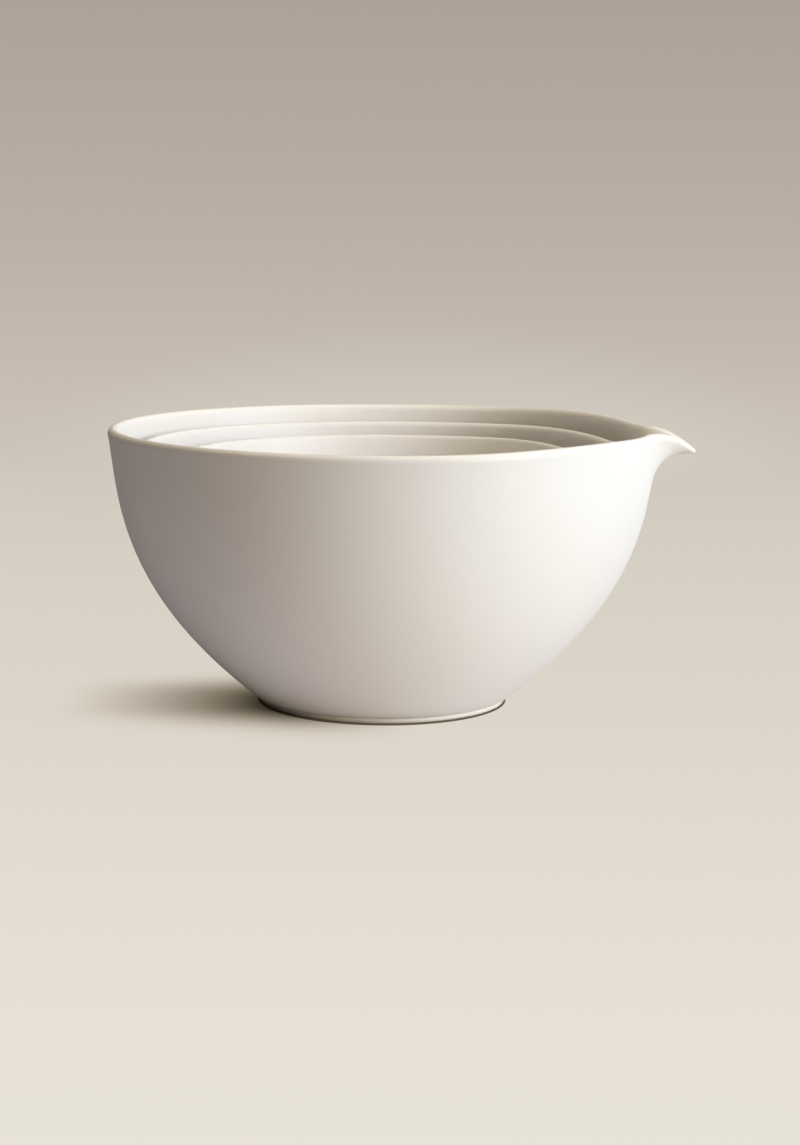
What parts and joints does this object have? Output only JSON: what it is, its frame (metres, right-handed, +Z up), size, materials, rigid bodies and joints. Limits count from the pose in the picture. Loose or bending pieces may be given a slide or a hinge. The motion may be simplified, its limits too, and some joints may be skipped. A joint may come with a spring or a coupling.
{
  "type": "nest of ceramic mixing bowls",
  "caption": "Nest of round ceramic mixing bowls with a satin glaze, a low foot ring and a wide pouring beak on each rim.",
  "frame": {"origin": "centre of the large bowl's foot ring, on the surface that the bowl stands on", "axes": "+Z up along the bowls' common axis; +X from that axis towards the pouring beaks; Y across, with the shape the same on both sides of the XZ plane"},
  "size_m": [0.2666, 0.2498, 0.127],
  "materials": {
    "glaze": "satin off-white glaze, wiped back to a finer matt skin on the foot ring"
  },
  "bodies": {
    "large_bowl": {"large_bowl": "glaze"},
    "medium_bowl": {"medium_bowl": "glaze"},
    "small_bowl": {"small_bowl": "glaze"}
  },
  "joints": [
    {"name": "medium_lift", "type": "slide", "parent": "large_bowl", "child": "medium_bowl", "axis": [0, 0, 1], "range_m": [0, 0.14]},
    {"name": "small_lift", "type": "slide", "parent": "medium_bowl", "child": "small_bowl", "axis": [0, 0, 1], "range_m": [0, 0.12]}
  ]
}
